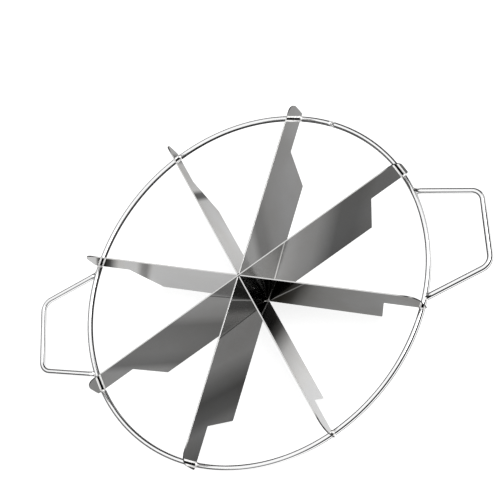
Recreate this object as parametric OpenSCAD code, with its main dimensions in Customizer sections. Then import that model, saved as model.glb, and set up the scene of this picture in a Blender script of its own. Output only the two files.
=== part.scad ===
// Cake portion marker: a round wire ring with two bent wire handles carries four crossed
// steel plates, which give eight blades that press eight even portions into a round cake.
// The blades' lower edges stand on the plane z = 0. X runs through both handles.

/* [Ring] */
// Diameter of the ring, to the middle of its wire
ring_d = 270; // [255:1:300]
// Thickness of the ring's wire
wire_d = 4.2; // [3.4:0.1:4.6]
// Direction of the weld that closes the ring, in degrees from the right handle
closing_angle = 57.5; // [50:0.5:62]
// Length of that weld along the wire
closing_l = 1.2; // [0.8:0.1:2]
// How far that weld stands proud of the wire
closing_proud = 0.1; // [0.05:0.05:0.3]

/* [Blades] */
// Height of the deep inner part of the blades
blade_h = 50; // [42:0.5:70]
// Thickness of the plates
blade_t = 1; // [0.8:0.1:1.5]
// Height of the outer strip of a blade
strip_h = 19; // [15:0.5:25]
// Distance from the middle to the outer corner of the deep part, at its lower edge
deep_low_r = 93.5; // [70:0.5:96]
// Distance from the middle to the corner where the deep part meets the strip
deep_top_r = 107; // [101:0.5:112]
// How far a blade stands out past the middle of the ring's wire
tip_reach = 4; // [3.4:0.1:8]
// Radius of a blade's upper outer corner
tip_round = 8.5; // [4:0.5:11]
// Radius of a blade's small corners
corner_round = 1; // [0.5:0.1:2]
// How deep the ring's wire sits in the notch in a strip's lower edge
notch_depth = 1; // [0.5:0.1:1.4]
// Turn of the blades away from an even place between the handles, in degrees
blade_turn = 1.7; // [-2:0.1:2]
// Gap between a hub slot's wall and the plate that passes through it
slot_play = 0.1; // [0.05:0.05:0.3]

/* [Handles] */
// Thickness of the handles' wire
handle_wire_d = 4.2; // [3.4:0.1:4.6]
// Distance from the middle of the ring's wire to the middle of a handle's outer bar
handle_reach = 42; // [34:1:60]
// Half of the angle between the places where a handle's legs meet the ring, in degrees
handle_root_a = 17.9; // [15:0.1:18.2]
// Width of a handle at its outer bar, between the corners of its centre-line
handle_bar_w = 56; // [46:1:68]
// Radius of a handle's bends, to the middle of the wire
bend_r = 9; // [6:0.5:14]

/* [Welds] */
// How far the beads where the ring crosses the blades stand proud of the wire
ring_bead_proud = 0.7; // [0.5:0.05:1]
// How far the beads at the ends of the handles' legs stand proud of the wire
leg_bead_proud = 0.55; // [0.4:0.05:0.8]
// Diameter of the weld bead in the bottom of the hub
hub_bead_d = 5.2; // [4.4:0.1:7]
// How deep the hub's weld has burnt into the lower edge of the lowest plate
hub_burn = 1; // [0.6:0.1:1.4]

/* [Hidden] */
$fn = 72;
plates = 4;
blades = 2 * plates;
legs = 4;

steel = [0.78, 0.79, 0.80];
plate_steel = [0.52, 0.53, 0.54];
weld_steel = [0.66, 0.66, 0.66];

// More than any wall is thick, so that a cut runs clear through it
past = 2;

ring_r = ring_d / 2;
strip_z = blade_h - strip_h;
ring_z = strip_z + notch_depth - wire_d / 2;
tip_r = ring_r + tip_reach;

// Direction of each plate, seen from above
blade_step = 180 / plates;
function plate_angle(i) = blade_step * (i - 0.5) + blade_turn;

// The plates share the hub's height: each runs through the axis in its own quarter of it,
// the first at the top, and has a slot for the others above and below
level_h = blade_h / plates;
slot_w = blade_t * (1 + cos(blade_step)) / sin(blade_step) + 2 * slot_play;
function bridge_top(i) = blade_h - level_h * (i - 1);
function bridge_bottom(i) = blade_h - level_h * i;

// A handle's centre-line: from the root on the ring's wire to the corner of the outer bar
root = ring_r * [cos(handle_root_a), sin(handle_root_a)];
corner = [ring_r + handle_reach, handle_bar_w / 2];
leg_dir = (corner - root) / norm(corner - root);
leg_angle = atan2(leg_dir[1], leg_dir[0]);
bend_turn = 90 + leg_angle;
bend_cut = bend_r * tan(bend_turn / 2);
leg_l = norm(corner - root) - bend_cut;
// A bend bulges by this much where the bending starts and ends
bend_mark = 0.02;

// A wire ring, or the stretch of one that starts at the given direction
module wire_arc(r, d, from, angle) {
    rotate([0, 0, from])
        rotate_extrude(angle = angle, $fn = r > 50 ? 480 : 96)
            translate([r, 0]) circle(d = d, $fn = 64);
}

// The whole ring's wire, which also cuts its seats in what meets it
module ring_wire() {
    translate([0, 0, ring_z]) wire_arc(ring_r, wire_d, 0, 360);
}

closing_a = closing_l / ring_r * 180 / PI;

// Round wire bent to a circle, open by the width of its closing weld
module ring() {
    color(steel)
        translate([0, 0, ring_z])
            wire_arc(ring_r, wire_d, closing_angle + closing_a / 2, 360 - closing_a);
}

// Low bead that joins the ends of the ring's wire
module ring_closing_weld() {
    color(weld_steel)
        translate([0, 0, ring_z])
            wire_arc(ring_r, wire_d + 2 * closing_proud, closing_angle - closing_a / 2, closing_a);
}

// The piece between a corner at p, whose edges leave it along a and b, and its rounding.
// Cut from an outer corner it rounds it, and added to an inner corner it fills it.
module corner_piece(p, a, b, r) {
    half = acos(a * b) / 2;
    reach = r / tan(half);
    centre = p + (a + b) / norm(a + b) * r / sin(half);
    difference() {
        polygon([p - (a + b) * r, p + a * reach - b * r, p + a * reach, centre,
                 p + b * reach, p + b * reach - a * r]);
        translate(centre) circle(r = r);
    }
}

// Outline of a plate: a deep middle part that steps up to a strip at each end
module plate_outline() {
    rise = [deep_top_r - deep_low_r, strip_z];
    slant = rise / norm(rise);
    difference() {
        union() {
            polygon([[-deep_low_r, 0], [deep_low_r, 0], [deep_top_r, strip_z], [tip_r, strip_z],
                     [tip_r, blade_h], [-tip_r, blade_h], [-tip_r, strip_z],
                     [-deep_top_r, strip_z]]);
            for (side = [0, 1]) mirror([side, 0])
                corner_piece([deep_top_r, strip_z], -slant, [1, 0], corner_round);
        }
        for (side = [0, 1]) mirror([side, 0]) {
            corner_piece([deep_low_r, 0], [-1, 0], slant, corner_round);
            corner_piece([tip_r, strip_z], [-1, 0], [0, 1], corner_round);
            corner_piece([tip_r, blade_h], [-1, 0], [0, -1], tip_round);
        }
    }
}

// Slots that let the other plates through above and below a plate's own bridge
module hub_slots(i) {
    if (i > 1) translate([-slot_w / 2, bridge_top(i)])
        square([slot_w, blade_h - bridge_top(i) + past]);
    if (i < plates) translate([-slot_w / 2, -past])
        square([slot_w, bridge_bottom(i) + past]);
}

// Where the hub's weld joins its two halves through the lowest plate
module hub_seat() {
    translate([0, 0, -past]) cylinder(d = slot_w, h = past + hub_burn);
}

// Flat plate that makes two opposite blades, with its hub slots and its ring notches
module blade(i) {
    color(plate_steel)
        difference() {
            rotate([90, 0, plate_angle(i)])
                translate([0, 0, -blade_t / 2])
                    linear_extrude(blade_t)
                        difference() {
                            plate_outline();
                            hub_slots(i);
                        }
            ring_wire();
            if (i == plates) hub_seat();
        }
}

// Weld metal that fills the bottom of the hub, flush with the blades' lower edges
module hub_weld() {
    lift = hub_bead_d / 8;
    color(weld_steel)
        difference() {
            translate([0, 0, lift]) sphere(d = hub_bead_d);
            translate([0, 0, -hub_bead_d / 2])
                cube([2 * hub_bead_d, 2 * hub_bead_d, hub_bead_d], center = true);
            for (i = [1:plates]) blade(i);
        }
}

// Weld bead over the ring's wire and against both faces of a blade's strip. It ends a little
// below the middle of the wire.
module ring_weld(i) {
    plate = (i - 1) % plates + 1;
    direction = plate_angle(plate) + (i > plates ? 180 : 0);
    d = wire_d + 2 * ring_bead_proud;
    below = wire_d / 8;
    color(weld_steel)
        difference() {
            rotate([0, 0, direction]) translate([ring_r, 0, 0]) difference() {
                translate([0, 0, ring_z]) sphere(d = d);
                translate([0, 0, ring_z - d / 2 - below]) cube([2 * d, 2 * d, d], center = true);
                translate([0, 0, strip_z + d / 2]) cube([2 * d, blade_t, d], center = true);
            }
            ring_wire();
        }
}

// Ball around the place where a leg meets the ring
leg_bead_d = max(wire_d, handle_wire_d) + 2 * leg_bead_proud;
module leg_ball() {
    sphere(d = leg_bead_d);
}

// Slight bulge where a bend starts and ends, across the wire that runs along Y
module bend_end() {
    sphere(d = handle_wire_d + 2 * bend_mark);
}

// Bent wire handle on the right: two legs that lean together, two bends and the outer bar.
// Each leg stops in the weld bead that joins it to the ring.
module handle() {
    bend_y = corner[1] - bend_cut;
    color(steel)
        difference() {
            union() {
                for (side = [0, 1]) mirror([0, side, 0]) {
                    translate([root[0], root[1], ring_z]) rotate([0, 0, leg_angle]) {
                        rotate([0, 90, 0]) cylinder(d = handle_wire_d, h = leg_l);
                        translate([leg_l, 0, 0]) rotate([0, 0, 90]) bend_end();
                    }
                    translate([corner[0] - bend_r, bend_y, ring_z])
                        wire_arc(bend_r, handle_wire_d, 0, bend_turn);
                    translate([corner[0], bend_y, ring_z]) bend_end();
                }
                translate([corner[0], bend_y, ring_z])
                    rotate([90, 0, 0]) cylinder(d = handle_wire_d, h = 2 * bend_y);
            }
            for (side = [0, 1]) mirror([0, side, 0])
                translate([root[0], root[1], ring_z]) leg_ball();
            ring_wire();
        }
}

module handle_right() {
    handle();
}

module handle_left() {
    rotate([0, 0, 180]) handle();
}

// Weld bead that joins the end of a leg to the ring: 1 and 2 on the right, 3 and 4 on the left
module handle_weld(i) {
    direction = (i % 2 == 1 ? handle_root_a : -handle_root_a) + (i > 2 ? 180 : 0);
    color(weld_steel)
        difference() {
            rotate([0, 0, direction]) translate([ring_r, 0, ring_z]) difference() {
                leg_ball();
                translate([-leg_bead_d / 2, 0, 0])
                    cube([leg_bead_d, 2 * leg_bead_d, 2 * leg_bead_d], center = true);
            }
            ring_wire();
        }
}

ring();
ring_closing_weld();
handle_right();
handle_left();
hub_weld();
for (i = [1:plates]) blade(i);
for (i = [1:blades]) ring_weld(i);
for (i = [1:legs]) handle_weld(i);
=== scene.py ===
"""Cake portion marker: bright wire ring and handles, soft-mirror steel plates, small weld beads."""
import math

import bmesh
import bpy
from mathutils import Matrix, Vector, noise


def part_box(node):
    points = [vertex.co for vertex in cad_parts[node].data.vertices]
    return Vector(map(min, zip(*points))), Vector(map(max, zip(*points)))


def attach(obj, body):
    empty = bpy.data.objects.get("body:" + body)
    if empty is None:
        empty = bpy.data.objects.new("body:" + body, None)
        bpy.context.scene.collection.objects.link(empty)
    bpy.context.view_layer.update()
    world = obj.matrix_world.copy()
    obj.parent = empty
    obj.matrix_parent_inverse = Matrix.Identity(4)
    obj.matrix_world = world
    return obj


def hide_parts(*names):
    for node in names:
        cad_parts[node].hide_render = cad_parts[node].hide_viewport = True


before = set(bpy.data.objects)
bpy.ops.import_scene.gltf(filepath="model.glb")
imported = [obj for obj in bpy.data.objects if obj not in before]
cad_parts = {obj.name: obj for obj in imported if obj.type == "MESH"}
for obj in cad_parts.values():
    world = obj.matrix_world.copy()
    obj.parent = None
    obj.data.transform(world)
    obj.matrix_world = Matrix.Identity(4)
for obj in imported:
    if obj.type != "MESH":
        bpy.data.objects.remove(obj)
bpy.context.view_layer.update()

MM = 0.001
UP = Vector((0, 0, 1))

# Places and sizes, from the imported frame
ring_low, ring_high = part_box("ring")
WIRE_R = (ring_high.z - ring_low.z) / 2
RING_Z = (ring_high.z + ring_low.z) / 2
RING_R = ring_high.x - WIRE_R
HANDLE_BAR_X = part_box("handle_right")[1].x - WIRE_R

# Plates: how many, how thick, the angle between two of them, and their turn between the handles
PLATES = 4
BLADES = 2 * PLATES
PLATE_T = 1.0 * MM
BLADE_STEP = math.pi / PLATES
BLADE_TURN = math.radians(1.7)

# Handles: how many legs, direction of a leg's end on the ring, half width of the outer bar, and
# radius of a bend
LEGS = 4
HANDLE_ROOT_A = math.radians(17.9)
HANDLE_BAR_HALF = 28.0 * MM
BEND_R = 9.0 * MM


def plate_angle(i):
    """Direction of plate i (1 to 4), seen from above."""
    return BLADE_STEP * (i - 0.5) + BLADE_TURN


def polar(r, a, z=0.0):
    """Point at distance r from the axis, in direction a."""
    return Vector((r * math.cos(a), r * math.sin(a), z))


def direction(azimuth, elevation):
    """Unit vector from two angles in degrees."""
    a = math.radians(azimuth)
    e = math.radians(elevation)
    return Vector((math.cos(a) * math.cos(e), math.sin(a) * math.cos(e), math.sin(e)))


def link_object(name, data):
    obj = bpy.data.objects.new(name, data)
    bpy.context.scene.collection.objects.link(obj)
    return obj


# Node trees

def grey(tone):
    return (tone, tone, tone, 1.0)


class Tree:
    """Node tree of a material or a world, with a short call for each kind of node in use."""

    def __init__(self, owner):
        owner.use_nodes = True
        self.nodes = owner.node_tree.nodes
        self.links = owner.node_tree.links

    def feed(self, socket, value):
        """Link a socket to another one, or set it to a number or a colour."""
        if isinstance(value, bpy.types.NodeSocket):
            self.links.new(value, socket)
        else:
            socket.default_value = value

    def math(self, operation, a, b=0.0):
        node = self.nodes.new("ShaderNodeMath")
        node.operation = operation
        self.feed(node.inputs[0], a)
        self.feed(node.inputs[1], b)
        return node.outputs["Value"]

    def add(self, a, b):
        return self.math("ADD", a, b)

    def subtract(self, a, b):
        return self.math("SUBTRACT", a, b)

    def times(self, a, b):
        return self.math("MULTIPLY", a, b)

    def absolute(self, a):
        return self.math("ABSOLUTE", a)

    def below(self, a, b):
        """1 where a is less than b."""
        return self.math("LESS_THAN", a, b)

    def vector_math(self, operation, a):
        node = self.nodes.new("ShaderNodeVectorMath")
        node.operation = operation
        self.feed(node.inputs[0], a)
        return node

    def split(self, vector):
        node = self.nodes.new("ShaderNodeSeparateXYZ")
        self.feed(node.inputs["Vector"], vector)
        return node.outputs

    def length(self, x, y):
        node = self.nodes.new("ShaderNodeCombineXYZ")
        self.feed(node.inputs["X"], x)
        self.feed(node.inputs["Y"], y)
        return self.vector_math("LENGTH", node.outputs["Vector"]).outputs["Value"]

    def scaled(self, vector, scale):
        node = self.nodes.new("ShaderNodeMapping")
        self.feed(node.inputs["Scale"], scale)
        self.feed(node.inputs["Vector"], vector)
        return node.outputs["Vector"]

    def remap(self, value, low, high, to_low, to_high):
        """Carry a value from one range over to another, and hold it inside that."""
        node = self.nodes.new("ShaderNodeMapRange")
        self.feed(node.inputs["From Min"], low)
        self.feed(node.inputs["From Max"], high)
        self.feed(node.inputs["To Min"], to_low)
        self.feed(node.inputs["To Max"], to_high)
        self.feed(node.inputs["Value"], value)
        return node.outputs["Result"]

    def ramp(self, value, stops):
        """Colour by value, from stops that each have a place from 0 to 1 and a colour."""
        node = self.nodes.new("ShaderNodeValToRGB")
        elements = node.color_ramp.elements
        while len(elements) < len(stops):
            elements.new(0.5)
        for element, (position, colour) in zip(elements, stops):
            element.position = position
            element.color = colour
        self.feed(node.inputs["Fac"], value)
        return node.outputs["Color"]

    def mix(self, factor, a, b, blend="MIX"):
        node = self.nodes.new("ShaderNodeMix")
        node.data_type = "RGBA"
        node.blend_type = blend
        self.feed(node.inputs["Factor"], factor)
        self.feed(node.inputs["A"], a)
        self.feed(node.inputs["B"], b)
        return node.outputs["Result"]

    def noise(self, vector, scale, detail=4.0, rough=0.55):
        node = self.nodes.new("ShaderNodeTexNoise")
        self.feed(node.inputs["Scale"], scale)
        self.feed(node.inputs["Detail"], detail)
        self.feed(node.inputs["Roughness"], rough)
        self.feed(node.inputs["Vector"], vector)
        return node.outputs["Fac"]

    def bump(self, height, strength, distance):
        node = self.nodes.new("ShaderNodeBump")
        self.feed(node.inputs["Strength"], strength)
        self.feed(node.inputs["Distance"], distance)
        self.feed(node.inputs["Height"], height)
        return node.outputs["Normal"]


def new_material(name):
    mat = bpy.data.materials.new(name)
    return mat, Tree(mat)


def new_metal(name, metallic=1.0):
    """Metal material, its tree, the inputs of its shader, and the place on the piece."""
    mat, tree = new_material(name)
    metal = tree.nodes["Principled BSDF"].inputs
    tree.feed(metal["Metallic"], metallic)
    place = tree.nodes.new("ShaderNodeTexCoord").outputs["Object"]
    return mat, tree, metal, place


# Wire

# Painted dark reflections on a wire's outer side: height, from 0 at its bottom to 1 at its top, and how
# strongly the dark is painted
PAINTED_WIRE_LINE = [(0.0, 1.0), (0.54, 1.0), (0.59, 0.0), (0.71, 0.0), (0.75, 1.0), (0.9, 1.0), (0.94, 0.0)]
# Heights between which the ring's inner side turns from painted shade to bright, on the same scale
UNDER_FROM = 0.65
UNDER_TO = 0.77
# Direction from the axis to the front of the tool. The painted dark reflection line turns from weak to
# strong between these distances to the front.
FRONT_X = 0.73
FRONT_Y = -0.68
STRONG_FROM = 0.8 * RING_R
STRONG_TO = 0.93 * RING_R
WEAK_LINE = 0.5
# How far past the ring's middle its inner side has turned into its outer side
SIDE_CHANGE = 0.2 * WIRE_R
# Grey of the painted dark reflections and shade on a wire, and its tint at a flat angle
PAINTED_DARK_TONE = 0.05
PAINTED_DARK_TINT = 0.2


def add_painted_darkness(tree, place):
    """How strongly a wire is painted dark, as painted reflections and shade. The ring's inner side has
    painted shade below. Its outer side and the handles have a painted dark reflection line, which is
    strongest at the front."""
    x, y, z = tree.split(place)
    level = tree.remap(z, RING_Z - WIRE_R, RING_Z + WIRE_R, 0, 1)
    painted_under = tree.remap(level, UNDER_FROM, UNDER_TO, 1, 0)
    line = tree.ramp(level, [(height, grey(painted_dark)) for height, painted_dark in PAINTED_WIRE_LINE])
    front = tree.add(tree.times(x, FRONT_X), tree.times(y, FRONT_Y))
    strength = tree.remap(front, STRONG_FROM, STRONG_TO, WEAK_LINE, 1)
    outer = tree.remap(tree.length(x, y), RING_R, RING_R + SIDE_CHANGE, 0, 1)
    inner = tree.subtract(1, outer)
    return tree.add(tree.times(outer, tree.times(line, strength)), tree.times(inner, painted_under))


def make_wire_steel():
    """Bright drawn wire, polished after bending, with painted dark reflection lines and painted shade in
    its colour.
    """
    mat, tree, metal, place = new_metal("wire_steel")
    cloud = tree.noise(place, 60.0)
    grain = tree.noise(place, 1500.0, 3.0)
    bright = tree.ramp(cloud, [(0.35, (0.94, 0.945, 0.95, 1)), (0.65, grey(0.99))])
    painted_dark = add_painted_darkness(tree, place)
    # painted dark reflections and shade go into the wire's colour and its tint
    tree.feed(metal["Base Color"], tree.mix(painted_dark, bright, grey(PAINTED_DARK_TONE)))
    tree.feed(metal["Specular Tint"], tree.mix(painted_dark, grey(1), grey(PAINTED_DARK_TINT)))
    tree.feed(metal["Roughness"], tree.remap(tree.add(cloud, grain), 0.6, 1.4, 0.07, 0.16))
    tree.feed(metal["Normal"], tree.bump(grain, 0.06, 0.1 * MM))
    return mat


# Plates

# Painted reflections and shade: these tones stand in for what each polished face mirrors, such as the
# dark shade round the hub
# How bright each plate's polished face is along the plate, chosen against the photo: distance from the
# middle in mm, from one tip to the other, and the tone there
PAINTED_FACE_TONES = {
    1: [(-139, 0.2), (-110, 0.19), (-101, 0.12), (-85, 0.14), (-50, 0.13), (-38, 0.2), (-20, 0.25),
        (25, 0.25), (45, 0.2), (58, 0.18), (78, 0.09), (95, 0.09), (110, 0.11), (139, 0.115)],
    2: [(-139, 0.07), (-125, 0.1), (-110, 0.12), (-100, 0.085), (-85, 0.07), (-72, 0.11), (-58, 0.17),
        (-4, 0.19), (4, 0.26), (17, 0.24), (27, 0.15), (38, 0.15), (50, 0.18), (90, 0.2), (139, 0.23)],
    3: [(-139, 0.3), (-110, 0.27), (-87, 0.255), (-77, 0.24), (-62, 0.205), (-55, 0.145), (-46, 0.06),
        (-38, 0.035), (-22, 0.03), (-12, 0.12), (-4, 0.25), (4, 0.24), (50, 0.22), (86, 0.19), (90, 0.07),
        (94, 0.07), (98, 0.2), (126, 0.18), (131, 0.08), (135, 0.08), (139, 0.16)],
    4: [(-139, 0.18), (-85, 0.175), (-60, 0.16), (-50, 0.145), (-44, 0.12), (-38, 0.09), (-30, 0.08),
        (-20, 0.08), (-12, 0.14), (-4, 0.25), (4, 0.31), (85, 0.28), (91, 0.16), (95, 0.17), (101, 0.28),
        (117, 0.26), (121, 0.19), (125, 0.1), (134, 0.05), (137, 0.15), (139, 0.3)],
}
# The same for its other face, whose painted tones the polished faces of the other plates mirror
PAINTED_BACK_TONES = {
    1: [(-139, 0.34), (-70, 0.42), (0, 0.4), (3, 0.52), (50, 0.5), (80, 0.4), (139, 0.34)],
    2: [(-139, 0.4), (-60, 0.32), (10, 0.44), (80, 0.36), (139, 0.3)],
    3: [(-139, 0.42), (-60, 0.45), (-40, 0.75), (-30, 0.3), (-5, 0.28), (5, 0.4), (80, 0.46), (139, 0.4)],
    4: [(-139, 0.3), (-60, 0.42), (-38, 0.75), (-3, 0.95), (3, 0.36), (90, 0.44), (139, 0.36)],
}
# The tones are placed on a scale that reaches this far to each side of the axis
TONE_REACH = 140 * MM
# A tone stands at its distance from the axis at this height. Above it the tone moves outward by
# this share of the rise: on the side of negative x, and on the other side.
LEAN_Z = 31 * MM
LEANS = {1: (0.7, 0.7), 2: (0.7, 0.7), 3: (0.7, -0.65), 4: (0.7, -0.65)}
# Nearest to the axis that a tone is read
HUB_R = 5 * MM
# Half width of the change from one side of a plate to the other
SIDE_STEP = 0.1 * MM

# A painted reflection of the ring's wire on the polished face of each blade's strip, as a band that
# leaves its notch. Its painted tone is given from the band's middle, at 0, to its rim, at 1.
PAINTED_BAND_TONES = [(0.0, 0.02), (0.36, 0.02), (0.46, 1.0), (1.0, 1.0)]
# How far a band moves along x for each unit of height: on the side of negative x, and on the other
BAND_LEANS = {1: (0.4, 0.014), 2: (-0.14, -0.515), 3: (-0.506, -0.832), 4: (-0.451, -0.787)}
# How much rougher the steel is in the band
BAND_ROUGHNESS = 0.35

# Painted reflections of neighbouring plates' edges: thin light lines that fan out of the bottom of the
# hub on the polished face: direction in degrees, from the side of negative x over the top, and tone
PAINTED_HUB_LINES = {
    1: [(63, 0.12), (129, 0.72)],
    2: [(46, 0.09), (69, 0.7)],
    3: [(52, 1.0), (60, 1.0)],
    4: [(43, 0.16), (58, 1.0), (71, 1.0)],
}
HUB_LINE_HALF = 0.5 * MM

# Tone of a plate's edges, and the darker painted shade of those round the tips, which keeps the lamp's
# glint off them, with the distances where one turns into the other. An edge starts this deep below the
# face.
EDGE_TONE = 0.72
TIP_EDGE_PAINTED_SHADE = 0.1
TIP_FROM = 124 * MM
TIP_TO = 130 * MM
EDGE_DEPTH = 0.03 * MM

# How fine the rolling lines are: along the plate, across it and up
ROLLING_SCALE = (14.0, 14.0, 2600.0)
# The tint at a flat angle is the colour times this, and at most white
TINT_GAIN = 4


def by_side(tree, x, sides):
    """The first of two values on the side of negative x, and the second on the other."""
    return tree.remap(x, -SIDE_STEP, SIDE_STEP, *sides)


def add_tones(tree, along, tones):
    """Grey tones along a plate, from the distance along it."""
    stops = [((x * MM + TONE_REACH) / (2 * TONE_REACH), grey(tone)) for x, tone in tones]
    return tree.ramp(tree.remap(along, -TONE_REACH, TONE_REACH, 0, 1), stops)


def add_painted_zones(tree, x, z, on_face, i):
    """Painted reflections and shade on plate i's two faces, in zones along the plate that lean with
    height.
    """
    outward = tree.times(tree.subtract(z, LEAN_Z), by_side(tree, x, LEANS[i]))
    distance = tree.math("MAXIMUM", tree.subtract(tree.absolute(x), outward), HUB_R)
    along = tree.times(tree.math("SIGN", x), distance)
    back = add_tones(tree, along, PAINTED_BACK_TONES[i])
    face = add_tones(tree, along, PAINTED_FACE_TONES[i])
    return tree.mix(on_face, back, face)


def add_painted_wire_band(tree, x, z, i):
    """1 in the bands where the ring's wire is painted as a reflection on plate i's strips, and the
    painted tone across them.
    """
    leans = BAND_LEANS[i]
    lean = by_side(tree, x, leans)
    half_width = by_side(tree, x, [WIRE_R * math.hypot(1, side) for side in leans])
    foot = tree.subtract(x, tree.times(tree.subtract(z, RING_Z), lean))
    off = tree.absolute(tree.subtract(tree.absolute(foot), RING_R))
    across = tree.math("DIVIDE", off, half_width)
    return tree.below(across, 1), tree.ramp(across, [(d, grey(tone)) for d, tone in PAINTED_BAND_TONES])


def add_painted_hub_line(tree, x, z, degrees):
    """1 on a thin painted light line, a mirrored plate edge, out of the bottom of the hub."""
    a = math.radians(degrees)
    aside = tree.add(tree.times(z, math.cos(a)), tree.times(x, math.sin(a)))
    return tree.below(tree.absolute(aside), HUB_LINE_HALF)


def make_plate_steel(i):
    """Rolled sheet with one polished face: a cloudy soft mirror with faint rolling lines, with painted
    reflections and shade in its colour.
    """
    mat, tree, metal, place = new_metal("plate_steel_%d" % i)
    x, y, z = tree.split(place)
    polished_side = 1 if i == PLATES else -1
    on_face = tree.math("GREATER_THAN", tree.times(y, polished_side), 0)
    # painted reflections and shade, as tones along the plate
    tone = add_painted_zones(tree, x, z, on_face, i)
    # painted reflection of the ring's wire on the strip
    in_band, band = add_painted_wire_band(tree, x, z, i)
    in_band = tree.times(on_face, in_band)
    tone = tree.mix(in_band, tone, band)
    # painted light lines that stand in for mirrored plate edges
    for degrees, line_tone in PAINTED_HUB_LINES[i]:
        on_line = tree.times(on_face, add_painted_hub_line(tree, x, z, degrees))
        tone = tree.mix(on_line, tone, grey(line_tone))
    on_edge = tree.below(tree.absolute(y), PLATE_T / 2 - EDGE_DEPTH)
    # painted shade on the edges round the tips
    edge = tree.remap(tree.absolute(x), TIP_FROM, TIP_TO, EDGE_TONE, TIP_EDGE_PAINTED_SHADE)
    tone = tree.mix(on_edge, tone, edge)

    cloud = tree.noise(place, 24.0)
    lines = tree.noise(tree.scaled(place, ROLLING_SCALE), 1.0, 3.0, 0.6)
    shade = tree.ramp(cloud, [(0.3, (0.92, 0.91, 0.89, 1)), (0.7, grey(1))])
    colour = tree.mix(1.0, tone, shade, "MULTIPLY")
    tree.feed(metal["Base Color"], colour)
    # a painted dark stretch stays dark when it is seen at a flat angle
    gained = tree.vector_math("SCALE", colour)
    gained.inputs["Scale"].default_value = TINT_GAIN
    tint = tree.vector_math("MINIMUM", gained.outputs["Vector"])
    tint.inputs[1].default_value = (1, 1, 1)
    tree.feed(metal["Specular Tint"], tint.outputs["Vector"])
    rough = tree.remap(tree.add(cloud, lines), 0.6, 1.4, 0.07, 0.15)
    tree.feed(metal["Roughness"], tree.add(rough, tree.times(in_band, BAND_ROUGHNESS)))
    tree.feed(metal["Normal"], tree.bump(lines, 0.05, 0.05 * MM))
    return mat


# Welds

def make_weld_steel(name, metallic):
    """Weld metal: duller, with fine ripples and a trace of heat colour."""
    mat, tree, metal, place = new_metal(name, metallic)
    cloud = tree.noise(place, 420.0)
    grain = tree.noise(place, 1700.0, 3.0)
    heat = [(0.3, (0.4, 0.38, 0.36, 1)), (0.42, (0.82, 0.81, 0.8, 1)), (0.7, grey(0.95))]
    tree.feed(metal["Base Color"], tree.ramp(cloud, heat))
    tree.feed(metal["Roughness"], tree.remap(grain, 0.3, 0.7, 0.35, 0.5))
    tree.feed(metal["Normal"], tree.bump(grain, 0.3, 0.2 * MM))
    return mat


WIRE = make_wire_steel()
WELD = make_weld_steel("weld_steel", 1.0)
HUB_WELD = make_weld_steel("hub_weld_steel", 0.3)


# Pieces

def finish_piece(obj, mat, node):
    """Give a piece its material, and let it ride and stand for its CAD node."""
    obj.data.materials.clear()
    obj.data.materials.append(mat)
    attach(obj, "root")
    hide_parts(node)


def mesh_object(name, verts, faces, smooth=True):
    mesh = bpy.data.meshes.new(name)
    mesh.from_pydata(verts, [], faces)
    mesh.update()
    if smooth:
        mesh.shade_smooth()
    return link_object(name, mesh)


TUBE_SIDES = 32


def tube(name, path, radius):
    """Round wire with flat ends, along a path that lies in one level plane. radius is a number or
    a function of the point's index."""
    last = len(path) - 1
    verts = []
    faces = []
    for i, p in enumerate(path):
        along = path[min(i + 1, last)] - path[max(i - 1, 0)]
        side = along.cross(UP).normalized()
        r = radius(i) if callable(radius) else radius
        for k in range(TUBE_SIDES):
            a = 2 * math.pi * k / TUBE_SIDES
            verts.append(p + side * (r * math.cos(a)) + UP * (r * math.sin(a)))
    for i in range(last):
        a = i * TUBE_SIDES
        b = a + TUBE_SIDES
        for k in range(TUBE_SIDES):
            m = (k + 1) % TUBE_SIDES
            faces.append((a + k, b + k, b + m, a + m))
    faces.append(tuple(range(TUBE_SIDES)))
    faces.append(tuple(last * TUBE_SIDES + k for k in reversed(range(TUBE_SIDES))))
    obj = mesh_object(name, verts, faces)
    for end in obj.data.polygons[-2:]:
        end.use_smooth = False
    return obj


# Steps round the ring's wire, and the gap between its ends
RING_STEPS = 360
CLOSING_GAP = 1.0 * MM
# Weld bead over that gap: steps, length, radius at its ends, swelling, unevenness and its grain
CLOSING_STEPS = 14
CLOSING_L = 1.5 * MM
CLOSING_END_R = WIRE_R * 0.985
CLOSING_SWELL = 0.11 * MM
CLOSING_UNEVEN = 0.05 * MM
CLOSING_GRAIN = 1400


def ring_path(start, length, steps):
    """Points along the middle of the ring's wire, over a length given as an angle."""
    return [polar(RING_R, start + length * i / steps, RING_Z) for i in range(steps + 1)]


def build_ring():
    """The ring's wire, with its two cut ends at the closing weld, and that weld."""
    weld_low, weld_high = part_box("ring_closing_weld")
    middle = (weld_low + weld_high) / 2
    weld_a = math.atan2(middle.y, middle.x)
    gap = CLOSING_GAP / RING_R
    path = ring_path(weld_a + gap / 2, 2 * math.pi - gap, RING_STEPS)
    finish_piece(tube("ring_wire", path, WIRE_R), WIRE, "ring")

    def swell(i):
        return CLOSING_END_R + CLOSING_SWELL * math.sin(math.pi * i / CLOSING_STEPS)

    length = CLOSING_L / RING_R
    bead = tube("ring_closing_bead", ring_path(weld_a - length / 2, length, CLOSING_STEPS), swell)
    for v in bead.data.vertices:
        axis = polar(RING_R, math.atan2(v.co.y, v.co.x), RING_Z)
        out = (v.co - axis).normalized()
        v.co += out * CLOSING_UNEVEN * noise.noise(v.co * CLOSING_GRAIN)
    finish_piece(bead, WELD, "ring_closing_weld")


# Steps along a handle's leg, round a bend, and along half of its outer bar
LEG_STEPS = 8
BEND_STEPS = 20
BAR_STEPS = 4
# How far a leg's end stands off the middle of the ring's wire
LEG_START = 0.6 * WIRE_R


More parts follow.
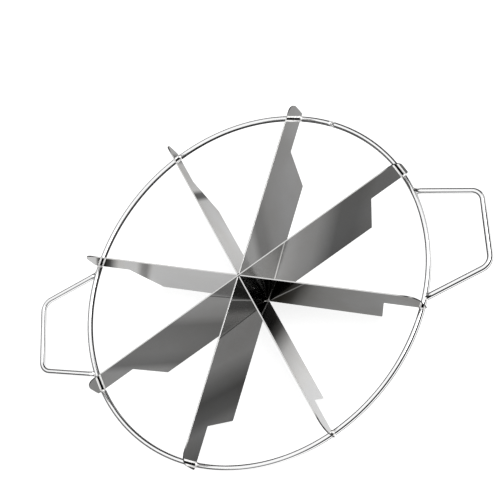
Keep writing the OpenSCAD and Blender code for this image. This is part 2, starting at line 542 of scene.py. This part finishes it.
def handle_path(side):
    """Middle of a handle's wire, from one end on the ring to the other. side is 1 or -1."""
    root = polar(RING_R, HANDLE_ROOT_A)
    corner = Vector((HANDLE_BAR_X, HANDLE_BAR_HALF, 0))
    lean = (corner - root).normalized()
    turn = math.pi / 2 + math.atan2(lean.y, lean.x)
    cut = BEND_R * math.tan(turn / 2)
    centre = Vector((HANDLE_BAR_X - BEND_R, corner.y - cut, 0))
    start = root + lean * LEG_START
    end = corner - lean * cut
    half = [start.lerp(end, i / LEG_STEPS) for i in range(LEG_STEPS + 1)]
    for i in range(1, BEND_STEPS + 1):
        half.append(centre + polar(BEND_R, turn * (1 - i / BEND_STEPS)))
    for i in range(1, BAR_STEPS + 1):
        half.append(Vector((HANDLE_BAR_X, centre.y * (1 - i / BAR_STEPS), 0)))
    full = half + [Vector((p.x, -p.y, 0)) for p in reversed(half[:-1])]
    return [Vector((side * p.x, side * p.y, RING_Z)) for p in full]


def build_handles():
    for name, side in (("handle_right", 1), ("handle_left", -1)):
        wire = tube(name + "_wire", handle_path(side), WIRE_R)
        finish_piece(wire, WIRE, name)


# Points of the CAD mesh that lie this near are one, and its faces that turn less than this are one
SAME_POINT = 0.0005 * MM
SAME_FACE = math.radians(0.5)
# Width of the small bevel that breaks a plate's sharp edges, and the least angle that is an edge
BROKEN_EDGE = 0.14 * MM
SHARP_ANGLE = math.radians(50)


def build_plate(i):
    """A plate from its CAD solid, with its sharp edges broken. Its own x runs along the plate."""
    node = "blade_%d" % i
    name = "plate_%d" % i
    bm = bmesh.new()
    bm.from_mesh(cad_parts[node].data)
    bmesh.ops.remove_doubles(bm, verts=bm.verts, dist=SAME_POINT)
    bmesh.ops.dissolve_limit(bm, angle_limit=SAME_FACE, verts=bm.verts, edges=bm.edges)
    bm.transform(Matrix.Rotation(-plate_angle(i), 4, "Z"))
    mesh = bpy.data.meshes.new(name)
    bm.to_mesh(mesh)
    bm.free()
    obj = link_object(name, mesh)
    obj.rotation_euler.z = plate_angle(i)
    bevel = obj.modifiers.new("broken_edges", "BEVEL")
    bevel.width = BROKEN_EDGE
    bevel.segments = 3
    bevel.limit_method = "ANGLE"
    bevel.angle_limit = SHARP_ANGLE
    bevel.use_clamp_overlap = True
    bevel.harden_normals = True
    mesh.shade_smooth()
    weighted = obj.modifiers.new("flat_faces", "WEIGHTED_NORMAL")
    weighted.keep_sharp = True
    finish_piece(obj, make_plate_steel(i), node)


def bead(name, place, axes, size, seed):
    """Small weld bead: an uneven ball with fine ripples. axes are its three directions and size
    its half sizes along them."""
    bm = bmesh.new()
    bmesh.ops.create_icosphere(bm, subdivisions=5, radius=1.0)
    shift = Vector((seed * 3.1, seed * 1.7, seed * 5.3))
    for v in bm.verts:
        n = v.co.normalized()
        uneven = 1 + 0.07 * noise.noise(n * 1.6 + shift) + 0.03 * noise.noise(n * 5 + shift)
        ripple = 0.012 * math.sin(16 * n.x + 2 * noise.noise(n * 2 + shift))
        q = n * (uneven + ripple)
        v.co = place + axes[0] * (q.x * size[0]) + axes[1] * (q.y * size[1]) + axes[2] * (q.z * size[2])
    mesh = bpy.data.meshes.new(name)
    bm.to_mesh(mesh)
    bm.free()
    mesh.shade_smooth()
    return link_object(name, mesh)


def bead_on_ring(name, a, out_by, up_by, size, seed):
    """Bead on the ring's wire in direction a. size is outward, along the wire and up."""
    out = polar(1, a)
    place = polar(RING_R + out_by, a, RING_Z + up_by)
    return bead(name, place, (out, UP.cross(out), UP), size, seed)


# Half sizes of the beads on the ring, outward, along the wire and up, and how far they stand off
# the middle of the wire. A bead's seed gives it its own unevenness.
CROSSING_SIZE = (2.3 * MM, 2.6 * MM, 2.3 * MM)
CROSSING_UP = 0.3 * MM
LEG_BEAD_SIZE = (1.7 * MM, 2.5 * MM, 2.0 * MM)
LEG_BEAD_OUT = 1.1 * MM
LEG_SEED = 20
HUB_SEED = 31
# The hub's bead has this share of its CAD solid's height, and lies above this height
HUB_BEAD_H = 0.98
HUB_BEAD_Z = 0.02 * MM


def build_beads():
    for i in range(1, BLADES + 1):
        plate = (i - 1) % PLATES + 1
        a = plate_angle(plate) + (math.pi if i > PLATES else 0)
        obj = bead_on_ring("crossing_bead_%d" % i, a, 0, CROSSING_UP, CROSSING_SIZE, i)
        finish_piece(obj, WELD, "ring_weld_%d" % i)
    for i in range(1, LEGS + 1):
        a = (HANDLE_ROOT_A if i % 2 == 1 else -HANDLE_ROOT_A) + (math.pi if i > 2 else 0)
        obj = bead_on_ring("leg_bead_%d" % i, a, LEG_BEAD_OUT, 0, LEG_BEAD_SIZE, LEG_SEED + i)
        finish_piece(obj, WELD, "handle_weld_%d" % i)
    low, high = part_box("hub_weld")
    size = ((high.x - low.x) / 2, (high.y - low.y) / 2, high.z / 2 * HUB_BEAD_H)
    axes = (Vector((1, 0, 0)), Vector((0, 1, 0)), UP)
    obj = bead("hub_bead", UP * (high.z / 2), axes, size, HUB_SEED)
    for v in obj.data.vertices:
        v.co.z = max(v.co.z, HUB_BEAD_Z)
    finish_piece(obj, HUB_WELD, "hub_weld")


# Floor, light and camera

# Strength of the world for the rays that show the background and for the rest, and of the
# floor's glow
BACKGROUND = 1.0
WORLD_LIGHT = 0.3
FLOOR_GLOW = 0.82
# Half side of the floor, and its height, which is just below the tool
FLOOR_HALF = 6.0
FLOOR_Z = -0.05 * MM


def background_rays(tree):
    """1 for the rays that show the background, which are the camera's, mirrored and bent ones."""
    rays = tree.nodes.new("ShaderNodeLightPath").outputs
    seen = tree.add(rays["Is Camera Ray"], rays["Is Glossy Ray"])
    return tree.add(seen, rays["Is Transmission Ray"])


def build_floor():
    """Pale floor: it glows a little for the rays that show the background, and keeps the shadow."""
    mat, tree = new_material("floor")
    tree.nodes.clear()
    diffuse = tree.nodes.new("ShaderNodeBsdfDiffuse")
    tree.feed(diffuse.inputs["Color"], grey(0.8))
    glow = tree.nodes.new("ShaderNodeEmission")
    tree.feed(glow.inputs["Strength"], tree.times(background_rays(tree), FLOOR_GLOW))
    lit = tree.nodes.new("ShaderNodeAddShader")
    tree.feed(lit.inputs[0], diffuse.outputs["BSDF"])
    tree.feed(lit.inputs[1], glow.outputs["Emission"])
    out = tree.nodes.new("ShaderNodeOutputMaterial")
    tree.feed(out.inputs["Surface"], lit.outputs["Shader"])
    sides = ((-1, -1), (1, -1), (1, 1), (-1, 1))
    corners = [(x * FLOOR_HALF, y * FLOOR_HALF, FLOOR_Z) for x, y in sides]
    obj = mesh_object("floor", corners, [(0, 1, 2, 3)], smooth=False)
    obj.data.materials.append(mat)


# Cards that stand round the tool: name, direction and half width in degrees, lower and upper
# height in metres, and grey
CARDS = [
    ("right_card", 78, 26, 0, 1.4, 0.02),
    ("left_card", 167, 63, 0, 1.3, 0.15),
    ("near_card", -65, 65, 0.12, 0.9, 0.35),
]
CARD_R = 1.5
CARD_STEPS = 12


def build_card(name, middle, half_width, low, high, tone):
    """Dark card on an arc round the tool. The camera doesn't see it and it throws no shadow. Only
    polished steel shows it, as the dark lines along the wires."""
    mat, tree = new_material(name)
    tree.nodes.clear()
    plain = tree.nodes.new("ShaderNodeEmission")
    tree.feed(plain.inputs["Color"], grey(tone))
    out = tree.nodes.new("ShaderNodeOutputMaterial")
    tree.feed(out.inputs["Surface"], plain.outputs["Emission"])
    steps = range(CARD_STEPS + 1)
    bends = [math.radians(middle + half_width * (2 * k / CARD_STEPS - 1)) for k in steps]
    verts = [polar(CARD_R, a, z) for z in (low, high) for a in bends]
    row = len(bends)
    faces = [(k, k + 1, row + k + 1, row + k) for k in range(CARD_STEPS)]
    obj = mesh_object(name, verts, faces, smooth=False)
    obj.data.materials.append(mat)
    obj.visible_camera = False
    obj.visible_diffuse = False
    obj.visible_shadow = False


def build_world():
    """Soft studio: plain pale light, and white for the rays that show the background."""
    world = bpy.data.worlds.new("studio")
    bpy.context.scene.world = world
    tree = Tree(world)
    background = tree.nodes["Background"].inputs
    tree.feed(background["Color"], grey(1))
    strength = tree.remap(background_rays(tree), 0, 1, WORLD_LIGHT, BACKGROUND)
    tree.feed(background["Strength"], strength)


def add_lamp(name, azimuth, elevation, distance, size, power):
    """Soft round lamp that shines on the tool from the given direction."""
    light = bpy.data.lights.new(name, "AREA")
    light.shape = "DISK"
    light.size = size
    light.energy = power
    obj = link_object(name, light)
    obj.location = direction(azimuth, elevation) * distance
    obj.rotation_euler = obj.location.to_track_quat("Z", "Y").to_euler()


# The photograph's camera: what it looks at, where it stands from there, its roll and its lens
CAMERA_TARGET = Vector((4.04, 24.56, 36.87)) * MM
CAMERA_AZIMUTH = -50.44
CAMERA_ELEVATION = 54.04
CAMERA_DISTANCE = 1.0353
CAMERA_ROLL = math.radians(-48.28)
CAMERA_LENS = 103.06


def build_camera():
    back = direction(CAMERA_AZIMUTH, CAMERA_ELEVATION)
    level = UP.cross(back).normalized()
    above = back.cross(level)
    right = level * math.cos(CAMERA_ROLL) + above * math.sin(CAMERA_ROLL)
    top = back.cross(right)
    data = bpy.data.cameras.new("camera")
    data.lens = CAMERA_LENS
    data.sensor_width = 36.0
    data.clip_start = 0.01
    data.clip_end = 50.0
    obj = link_object("camera", data)
    turn = Matrix((right, top, back)).transposed().to_4x4()
    obj.matrix_world = Matrix.Translation(CAMERA_TARGET + back * CAMERA_DISTANCE) @ turn
    bpy.context.scene.camera = obj


build_ring()
build_handles()
for i in range(1, PLATES + 1):
    build_plate(i)
build_beads()

build_floor()
for card in CARDS:
    build_card(*card)
build_world()
add_lamp("key", azimuth=20, elevation=60, distance=1.6, size=1.0, power=9)
build_camera()
bpy.context.scene.view_settings.view_transform = "Standard"

bpy.context.view_layer.update()
